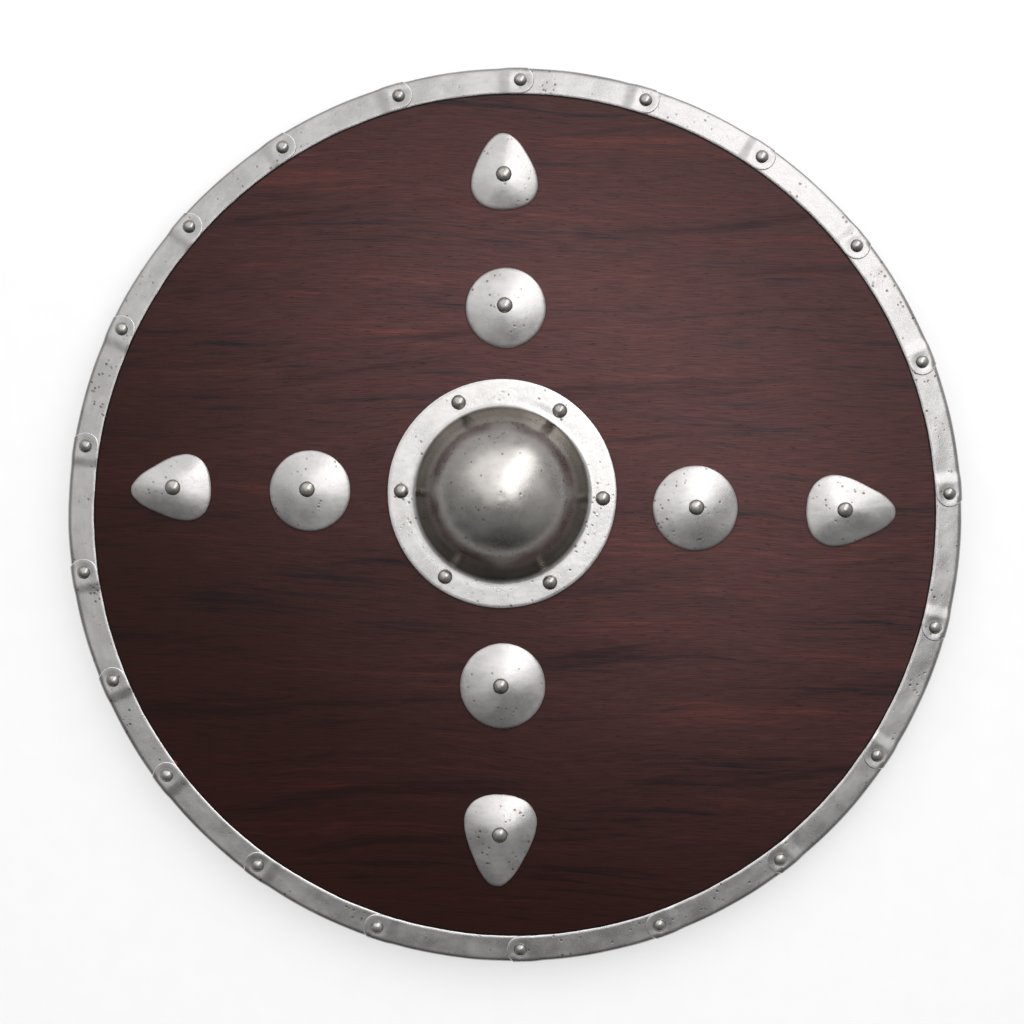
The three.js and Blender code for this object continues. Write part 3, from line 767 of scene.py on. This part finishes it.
# ------------------------------------------------------------------ plates
def make_plate(kind, arm, seed):
    """A dished plate over the outline of its node, and the rivet through it."""
    node = f"{kind}_plate_{arm}"
    corners = node_points(node)
    lowest = corners[:, 2].min()
    rivet_centre = corners[corners[:, 2] < lowest + 0.05 * MM][:, :2].mean(axis=0)
    on_edge = np.abs(corners[:, 2] - ON_BOARD) < 0.05 * MM
    outline = corners[on_edge][:, :2] - rivet_centre
    outline = outline[np.hypot(*outline.T) > 12 * MM]
    outline = np.unique(np.round(outline, 6), axis=0)
    outline = outline[np.argsort(np.arctan2(outline[:, 1], outline[:, 0]))]
    loop = smooth_loop(outline, 128)
    for i, spot in enumerate(loop):
        spot *= 1 + 0.006 * waver(seed, *(spot / (9 * MM))) + 0.002 * waver(seed + 3, i * 0.5)

    bevel = 0.35 * MM
    shares = [0, 0.06, 0.12, 0.18, 0.25, 0.33, 0.42, 0.52, 0.62, 0.72, 0.81, 0.89, 0.95]
    profile = [(share, 0.0, 1.0) for share in shares]
    profile += [(1.0, -bevel, 1.0), (1.0, -0.1 * bevel, 0.72), (1.0, 0.0, 0.4), (1.0, 0.0, 0.0)]
    profile += [(share, 0.0, 0.0) for share in (0.9, 0.7, 0.5, 0.3, 0.1, 0.0)]
    points = []
    for share, inset, skin in profile:
        for spot in loop:
            distance = np.linalg.norm(spot)
            x, y = spot * share * (1 + inset / distance)
            height = PLATE_RISE * (1 - share ** PLATE_BEND)
            place = ((rivet_centre[0] + x) / (13 * MM), (rivet_centre[1] + y) / (13 * MM))
            height += 0.20 * MM * waver(seed, *place) * share * (1 - share ** 3)
            points.append((rivet_centre[0] + x, rivet_centre[1] + y,
                           ON_BOARD + height + SHEET * skin))
    faces = grid_faces(len(profile), len(loop))
    slots = []
    for row in range(len(profile) - 1):
        slots += [1 if len(shares) <= row < len(shares) + 3 else 0] * len(loop)
    plate = add_mesh(f"{arm}_{kind}", points, faces, [plate_steel, cut_edge_highlight], slots)
    fit_piece(plate, "plate_steel", node)

    seat = ON_BOARD + SHEET + PLATE_RISE - 0.75 * MM
    rivet = make_rivet(f"{arm}_{kind}_stud", rivet_centre, 5.4 * MM, 3.35 * MM,
                       seat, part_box(node)[0].z, 0.7 * MM, seed)
    fit_piece(rivet, "rivet_steel")
    add_rove(f"{arm}_{kind}_rove", node, rivet_centre, rivet)


seed = 70
for arm in ("top", "left", "right", "bottom"):
    for kind in ("disc", "pear"):
        make_plate(kind, arm, seed)
        seed += 1


# ------------------------------------------------------------------ grip
def make_grip():
    """A bar shaped by hand: flat arms behind the board, and a rounded waist to hold."""
    corners = node_points("grip")
    away = corners[:, :2] - BOSS_CENTRE
    along = away @ np.array([math.cos(GRIP_TURN), math.sin(GRIP_TURN)])
    left, right = along.min(), along.max()
    thick = 15.0 * MM
    # (x, half width, underside, top, roundness of the corners from 0 to 1)
    keys = [
        (left, 11.5, 1.2, 13.6, 0.8), (left + 2 * MM, 16.0, 0.3, 14.8, 0.6),
        (left + 6 * MM, 19.3, 0.0, 15.0, 0.5), (left + 15 * MM, 21.0, 0.0, 15.0, 0.4),
        (-63 * MM, 21.0, 0.0, 15.0, 0.4), (-51 * MM, 18.9, 0.5, 15.0, 0.5),
        (-40 * MM, 15.6, 1.35, 20.4, 0.85), (-24 * MM, 15.0, 1.5, 21.0, 1.0),
        (0.0, 15.0, 1.5, 21.0, 1.0),
        (24 * MM, 15.0, 1.5, 21.0, 1.0), (40 * MM, 15.6, 1.35, 20.4, 0.85),
        (51 * MM, 18.9, 0.5, 15.0, 0.5), (63 * MM, 21.0, 0.0, 15.0, 0.4),
        (right - 15 * MM, 21.0, 0.0, 15.0, 0.4), (right - 6 * MM, 19.3, 0.0, 15.0, 0.5),
        (right - 2 * MM, 16.0, 0.3, 14.8, 0.6), (right, 11.5, 1.2, 13.6, 0.8),
    ]
    key_x, half, low, high, roundness = np.array(keys).T
    stations = np.unique(np.concatenate([
        np.linspace(left, left + 15 * MM, 9), np.linspace(left + 15 * MM, -66 * MM, 14),
        np.linspace(-66 * MM, 66 * MM, 45), np.linspace(66 * MM, right - 15 * MM, 14),
        np.linspace(right - 15 * MM, right, 9)]))
    ring_sides = 40
    turn_cos, turn_sin = math.cos(GRIP_TURN), math.sin(GRIP_TURN)
    points = []
    for x in stations:
        spread = 3 * MM if abs(x) < 70 * MM else 0.6 * MM
        samples = np.clip(x + spread * np.array([-1, -0.5, 0, 0.5, 1]), left, right)
        w, lo, hi, soft = (np.interp(samples, key_x, values).mean()
                           for values in (half, low, high, roundness))
        power = between(9.0, 2.6, soft)
        for side in range(ring_sides):
            angle = FULL_TURN * side / ring_sides
            c, s = math.cos(angle), math.sin(angle)
            reach = (abs(c) ** power + abs(s) ** power) ** (-1 / power)
            y = w * MM * reach * c + 0.15 * MM * waver(90, x / (25 * MM), c)
            z = between(lo, hi, (1 + reach * s) / 2) * MM
            z = max(z, 0.0)
            if abs(x) > 49 * MM:
                z = min(z, thick)
            points.append((BOSS_CENTRE[0] + x * turn_cos - y * turn_sin,
                           BOSS_CENTRE[1] + x * turn_sin + y * turn_cos, z))
    faces = grid_faces(len(stations), ring_sides)
    last = (len(stations) - 1) * ring_sides
    faces.append(tuple(range(ring_sides)))
    faces.append(tuple(last + side for side in reversed(range(ring_sides))))
    grip = add_mesh("hand_grip", points, faces, [grip_wood])
    fit_piece(grip, "grip_wood", "grip")


make_grip()


# ------------------------------------------------------------------ studio
# Glow of the room against the tilt from straight up, in degrees, from the horizon upward.
ROOM_GLOW = [(90, 0.15), (60, 0.46), (40, 0.44), (26, 0.37), (16, 0.40), (8, 0.40), (0, 0.41)]
ROOM_LEAN = (0.1, 0.9, 0.0)  # share by which the glow grows toward a side


def add_softbox(name, azimuth, tilt, distance, size, radiance, roll=0.0):
    """A rectangular light toward an azimuth, tilted from straight up, aimed at the shield."""
    data = bpy.data.lights.new(name, "AREA")
    data.shape = "RECTANGLE"
    data.size, data.size_y = size
    data.energy = radiance * math.pi * size[0] * size[1]
    light = bpy.data.objects.new(name, data)
    bpy.context.scene.collection.objects.link(light)
    a, t = math.radians(azimuth), math.radians(tilt)
    light.location = Vector((math.sin(t) * math.cos(a), math.sin(t) * math.sin(a),
                             math.cos(t))) * distance
    facing = (-light.location).to_track_quat("-Z", "Y").to_matrix()
    light.rotation_euler = (facing @ Matrix.Rotation(math.radians(roll), 3, "Z")).to_euler()
    return light


def make_floor():
    """A large pale round floor."""
    sides = 96
    points = lathe_points([(0.0, 0.0), (0.4, 0.0), (1.5, 0.0), (6.0, 0.0)], (0.0, 0.0), sides)
    g = Graph("pale_floor")
    speck = g.noise(g.stretch(g.object_place(), (60.0,) * 3), detail=3.0)
    colour = g.blend(g.band(speck, 0.3, 0.7), (0.44, 0.44, 0.44), (0.46, 0.46, 0.46))
    material = g.finish(colour, 0.9, Emission_Color=(1.0, 1.0, 1.0, 1.0), Emission_Strength=0.64)
    floor = add_mesh("floor", points, grid_faces(4, sides), [material])


def make_world():
    """A room that glows softly overhead and is dim low down, brighter toward one side."""
    world = bpy.data.worlds.new("studio")
    bpy.context.scene.world = world
    world.use_nodes = True
    tree = world.node_tree
    tree.nodes.clear()

    def node(kind, **settings):
        made = tree.nodes.new(kind)
        for key, value in settings.items():
            setattr(made, key, value)
        return made

    coord = node("ShaderNodeTexCoord")
    split = node("ShaderNodeSeparateXYZ")
    tree.links.new(coord.outputs["Generated"], split.inputs[0])
    ramp = node("ShaderNodeValToRGB")
    stops = ramp.color_ramp.elements
    while len(stops) < len(ROOM_GLOW):
        stops.new(0.5)
    for stop, (tilt, glow) in zip(stops, ROOM_GLOW):
        stop.position = math.cos(math.radians(tilt))
        stop.color = (glow, glow, glow, 1)
    tree.links.new(split.outputs["Z"], ramp.inputs["Fac"])
    lean = node("ShaderNodeVectorMath", operation="DOT_PRODUCT")
    tree.links.new(coord.outputs["Generated"], lean.inputs[0])
    lean.inputs[1].default_value = ROOM_LEAN
    side = node("ShaderNodeMath", operation="ADD", use_clamp=False)
    tree.links.new(lean.outputs["Value"], side.inputs[0])
    side.inputs[1].default_value = 1.0
    dim = node("ShaderNodeBackground")
    tree.links.new(ramp.outputs["Color"], dim.inputs["Color"])
    tree.links.new(side.outputs[0], dim.inputs["Strength"])
    pale = node("ShaderNodeBackground")
    pale.inputs["Color"].default_value = (0.93, 0.93, 0.93, 1)
    rays = node("ShaderNodeLightPath")
    mix = node("ShaderNodeMixShader")
    tree.links.new(rays.outputs["Is Camera Ray"], mix.inputs[0])
    tree.links.new(dim.outputs[0], mix.inputs[1])
    tree.links.new(pale.outputs[0], mix.inputs[2])
    end = node("ShaderNodeOutputWorld")
    tree.links.new(mix.outputs[0], end.inputs[0])


def make_camera():
    """Straight above, as far off as fills the frame with the shield and its margin."""
    distance = 2.4
    frame_width = 0.6978  # at the level of the rim's front
    data = bpy.data.cameras.new("camera")
    data.sensor_width = 36
    data.lens = 36 * distance / frame_width
    data.clip_start, data.clip_end = 0.1, 50
    camera = bpy.data.objects.new("camera", data)
    bpy.context.scene.collection.objects.link(camera)
    camera.location = (-2.04 * MM, 1.84 * MM, RIM_TOP + distance)
    bpy.context.scene.camera = camera


add_softbox("key", 52.3, 35.9, 1.23, (0.54, 1.63), 2.0, roll=9.7)
add_softbox("fill", 119.8, 26.0, 1.22, (1.15, 1.43), 0.74)
make_floor()
make_world()
make_camera()
bpy.context.scene.view_settings.view_transform = "Standard"
